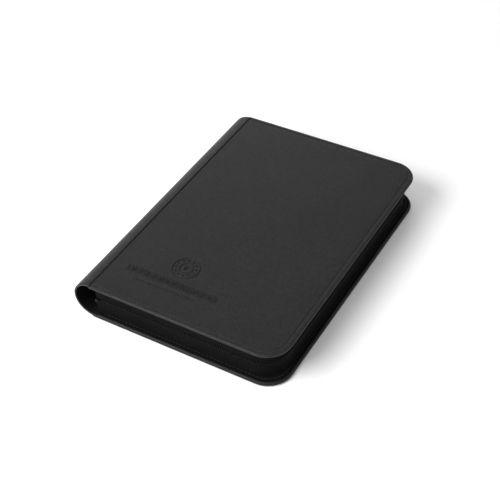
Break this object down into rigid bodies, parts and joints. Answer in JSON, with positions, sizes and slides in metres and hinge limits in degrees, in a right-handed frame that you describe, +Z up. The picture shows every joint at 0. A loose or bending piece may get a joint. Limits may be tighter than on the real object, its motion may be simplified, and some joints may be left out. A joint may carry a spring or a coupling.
{
  "type": "trading card binder",
  "caption": "Zip-up binder with padded leatherette covers, a hollow rounded spine and side-loading pocket pages that fan open.",
  "frame": {"origin": "middle of the closed binder's box, on the face that it lies on", "axes": "+X from the spine to the fore-edge, +Y along the spine, +Z up through the thickness, front cover on top"},
  "size_m": [0.176, 0.24, 0.032],
  "materials": {
    "leatherette": "matte fine grain",
    "foam": "soft foam",
    "board": "grey board",
    "lining": "plain weave",
    "thread": "twisted thread",
    "zip_tape": "ribbed tape",
    "zip_teeth": "moulded",
    "zip_metal": "black enamel",
    "stiffener": "plain sheet",
    "binding": "welded strip",
    "page_film": "clear film over black"
  },
  "bodies": {
    "back_cover": {"back_cover_skin": "leatherette", "back_cover_foam": "foam", "back_cover_board": "board", "back_cover_lining": "lining", "back_seam_thread": "thread", "back_zip_tape": "zip_tape", "back_zip_teeth": "zip_teeth", "back_top_stop": "zip_metal", "zip_bottom_stop": "zip_metal"},
    "spine_1": {"spine_skin_1": "leatherette", "spine_stiffener_1": "stiffener", "spine_lining_1": "lining"},
    "spine_2": {"spine_skin_2": "leatherette", "spine_stiffener_2": "stiffener", "spine_lining_2": "lining"},
    "spine_3": {"spine_skin_3": "leatherette", "spine_stiffener_3": "stiffener", "spine_lining_3": "lining", "page_binding_strip": "binding"},
    "spine_4": {"spine_skin_4": "leatherette", "spine_stiffener_4": "stiffener", "spine_lining_4": "lining"},
    "spine_5": {"spine_skin_5": "leatherette", "spine_stiffener_5": "stiffener", "spine_lining_5": "lining"},
    "front_cover": {"front_cover_skin": "leatherette", "front_cover_foam": "foam", "front_cover_board": "board", "front_cover_lining": "lining", "front_seam_thread": "thread", "front_zip_tape": "zip_tape", "front_zip_teeth": "zip_teeth", "front_top_stop": "zip_metal"},
    "page_01": {"page_01": "page_film"},
    "page_02": {"page_02": "page_film"},
    "page_03": {"page_03": "page_film"},
    "page_04": {"page_04": "page_film"},
    "page_05": {"page_05": "page_film"},
    "page_06": {"page_06": "page_film"},
    "page_07": {"page_07": "page_film"},
    "page_08": {"page_08": "page_film"},
    "page_09": {"page_09": "page_film"},
    "page_10": {"page_10": "page_film"},
    "page_11": {"page_11": "page_film"},
    "page_12": {"page_12": "page_film"},
    "page_13": {"page_13": "page_film"},
    "page_14": {"page_14": "page_film"},
    "page_15": {"page_15": "page_film"},
    "page_16": {"page_16": "page_film"},
    "page_17": {"page_17": "page_film"},
    "page_18": {"page_18": "page_film"},
    "page_19": {"page_19": "page_film"},
    "page_20": {"page_20": "page_film"},
    "slider": {"zip_slider": "zip_metal"},
    "pull": {"zip_pull": "zip_metal"}
  },
  "joints": [
    {"name": "back_crease", "type": "hinge", "parent": "back_cover", "child": "spine_1", "pos_m": [-0.072, 0, 0], "axis": [0, -1, 0], "range_deg": [0, 18]},
    {"name": "spine_fold_1", "type": "hinge", "parent": "spine_1", "child": "spine_2", "pos_m": [-0.0814, 0, 0.00306], "axis": [0, -1, 0], "range_deg": [0, 36.02]},
    {"name": "spine_fold_2", "type": "hinge", "parent": "spine_2", "child": "spine_3", "pos_m": [-0.08722, 0, 0.01106], "axis": [0, -1, 0], "range_deg": [0, 36.02]},
    {"name": "spine_fold_3", "type": "hinge", "parent": "spine_3", "child": "spine_4", "pos_m": [-0.08722, 0, 0.02094], "axis": [0, -1, 0], "range_deg": [0, 36.02]},
    {"name": "spine_fold_4", "type": "hinge", "parent": "spine_4", "child": "spine_5", "pos_m": [-0.0814, 0, 0.02894], "axis": [0, -1, 0], "range_deg": [0, 36.02]},
    {"name": "front_crease", "type": "hinge", "parent": "spine_5", "child": "front_cover", "pos_m": [-0.072, 0, 0.032], "axis": [0, -1, 0], "range_deg": [0, 18.02]},
    {"name": "page_01_turn", "type": "hinge", "parent": "spine_3", "child": "page_01", "pos_m": [-0.0761, 0, 0.00365], "axis": [0, -1, 0], "range_deg": [-65.05, 0]},
    {"name": "page_02_turn", "type": "hinge", "parent": "spine_3", "child": "page_02", "pos_m": [-0.0761, 0, 0.00495], "axis": [0, -1, 0], "range_deg": [-58.21, 0]},
    {"name": "page_03_turn", "type": "hinge", "parent": "spine_3", "child": "page_03", "pos_m": [-0.0761, 0, 0.00625], "axis": [0, -1, 0], "range_deg": [-51.37, 0]},
    {"name": "page_04_turn", "type": "hinge", "parent": "spine_3", "child": "page_04", "pos_m": [-0.0761, 0, 0.00755], "axis": [0, -1, 0], "range_deg": [-44.52, 0]},
    {"name": "page_05_turn", "type": "hinge", "parent": "spine_3", "child": "page_05", "pos_m": [-0.0761, 0, 0.00885], "axis": [0, -1, 0], "range_deg": [-37.68, 0]},
    {"name": "page_06_turn", "type": "hinge", "parent": "spine_3", "child": "page_06", "pos_m": [-0.0761, 0, 0.01015], "axis": [0, -1, 0], "range_deg": [-30.84, 0]},
    {"name": "page_07_turn", "type": "hinge", "parent": "spine_3", "child": "page_07", "pos_m": [-0.0761, 0, 0.01145], "axis": [0, -1, 0], "range_deg": [-24, 0]},
    {"name": "page_08_turn", "type": "hinge", "parent": "spine_3", "child": "page_08", "pos_m": [-0.0761, 0, 0.01275], "axis": [0, -1, 0], "range_deg": [-17.16, 0]},
    {"name": "page_09_turn", "type": "hinge", "parent": "spine_3", "child": "page_09", "pos_m": [-0.0761, 0, 0.01405], "axis": [0, -1, 0], "range_deg": [-10.31, 0]},
    {"name": "page_10_turn", "type": "hinge", "parent": "spine_3", "child": "page_10", "pos_m": [-0.0761, 0, 0.01535], "axis": [0, -1, 0], "range_deg": [-3.47, 0]},
    {"name": "page_11_turn", "type": "hinge", "parent": "spine_3", "child": "page_11", "pos_m": [-0.0761, 0, 0.01665], "axis": [0, -1, 0], "range_deg": [0, 3.47]},
    {"name": "page_12_turn", "type": "hinge", "parent": "spine_3", "child": "page_12", "pos_m": [-0.0761, 0, 0.01795], "axis": [0, -1, 0], "range_deg": [0, 10.31]},
    {"name": "page_13_turn", "type": "hinge", "parent": "spine_3", "child": "page_13", "pos_m": [-0.0761, 0, 0.01925], "axis": [0, -1, 0], "range_deg": [0, 17.16]},
    {"name": "page_14_turn", "type": "hinge", "parent": "spine_3", "child": "page_14", "pos_m": [-0.0761, 0, 0.02055], "axis": [0, -1, 0], "range_deg": [0, 24]},
    {"name": "page_15_turn", "type": "hinge", "parent": "spine_3", "child": "page_15", "pos_m": [-0.0761, 0, 0.02185], "axis": [0, -1, 0], "range_deg": [0, 30.84]},
    {"name": "page_16_turn", "type": "hinge", "parent": "spine_3", "child": "page_16", "pos_m": [-0.0761, 0, 0.02315], "axis": [0, -1, 0], "range_deg": [0, 37.68]},
    {"name": "page_17_turn", "type": "hinge", "parent": "spine_3", "child": "page_17", "pos_m": [-0.0761, 0, 0.02445], "axis": [0, -1, 0], "range_deg": [0, 44.52]},
    {"name": "page_18_turn", "type": "hinge", "parent": "spine_3", "child": "page_18", "pos_m": [-0.0761, 0, 0.02575], "axis": [0, -1, 0], "range_deg": [0, 51.37]},
    {"name": "page_19_turn", "type": "hinge", "parent": "spine_3", "child": "page_19", "pos_m": [-0.0761, 0, 0.02705], "axis": [0, -1, 0], "range_deg": [0, 58.21]},
    {"name": "page_20_turn", "type": "hinge", "parent": "spine_3", "child": "page_20", "pos_m": [-0.0761, 0, 0.02835], "axis": [0, -1, 0], "range_deg": [0, 65.05]},
    {"name": "zip_slide", "type": "slide", "parent": "back_cover", "child": "slider", "axis": [1, 0, 0], "range_m": [0, 0.116]},
    {"name": "pull_swing", "type": "hinge", "parent": "slider", "child": "pull", "pos_m": [-0.06, 0.1179, 0.016], "axis": [0, 0, 1], "range_deg": [0, 170]}
  ],
  "couplings": [
    {"joint": "spine_fold_1", "follows": "back_crease", "ratio": 2},
    {"joint": "spine_fold_2", "follows": "back_crease", "ratio": 2},
    {"joint": "spine_fold_3", "follows": "back_crease", "ratio": 2},
    {"joint": "spine_fold_4", "follows": "back_crease", "ratio": 2},
    {"joint": "front_crease", "follows": "back_crease", "ratio": 1},
    {"joint": "page_01_turn", "follows": "back_crease", "ratio": -3.6111},
    {"joint": "page_02_turn", "follows": "back_crease", "ratio": -3.231},
    {"joint": "page_03_turn", "follows": "back_crease", "ratio": -2.8509},
    {"joint": "page_04_turn", "follows": "back_crease", "ratio": -2.4708},
    {"joint": "page_05_turn", "follows": "back_crease", "ratio": -2.0906},
    {"joint": "page_06_turn", "follows": "back_crease", "ratio": -1.7105},
    {"joint": "page_07_turn", "follows": "back_crease", "ratio": -1.3304},
    {"joint": "page_08_turn", "follows": "back_crease", "ratio": -0.95029},
    {"joint": "page_09_turn", "follows": "back_crease", "ratio": -0.57017},
    {"joint": "page_10_turn", "follows": "back_crease", "ratio": -0.19006},
    {"joint": "page_11_turn", "follows": "back_crease", "ratio": 0.19006},
    {"joint": "page_12_turn", "follows": "back_crease", "ratio": 0.57017},
    {"joint": "page_13_turn", "follows": "back_crease", "ratio": 0.95029},
    {"joint": "page_14_turn", "follows": "back_crease", "ratio": 1.3304},
    {"joint": "page_15_turn", "follows": "back_crease", "ratio": 1.7105},
    {"joint": "page_16_turn", "follows": "back_crease", "ratio": 2.0906},
    {"joint": "page_17_turn", "follows": "back_crease", "ratio": 2.4708},
    {"joint": "page_18_turn", "follows": "back_crease", "ratio": 2.8509},
    {"joint": "page_19_turn", "follows": "back_crease", "ratio": 3.231},
    {"joint": "page_20_turn", "follows": "back_crease", "ratio": 3.6111}
  ]
}
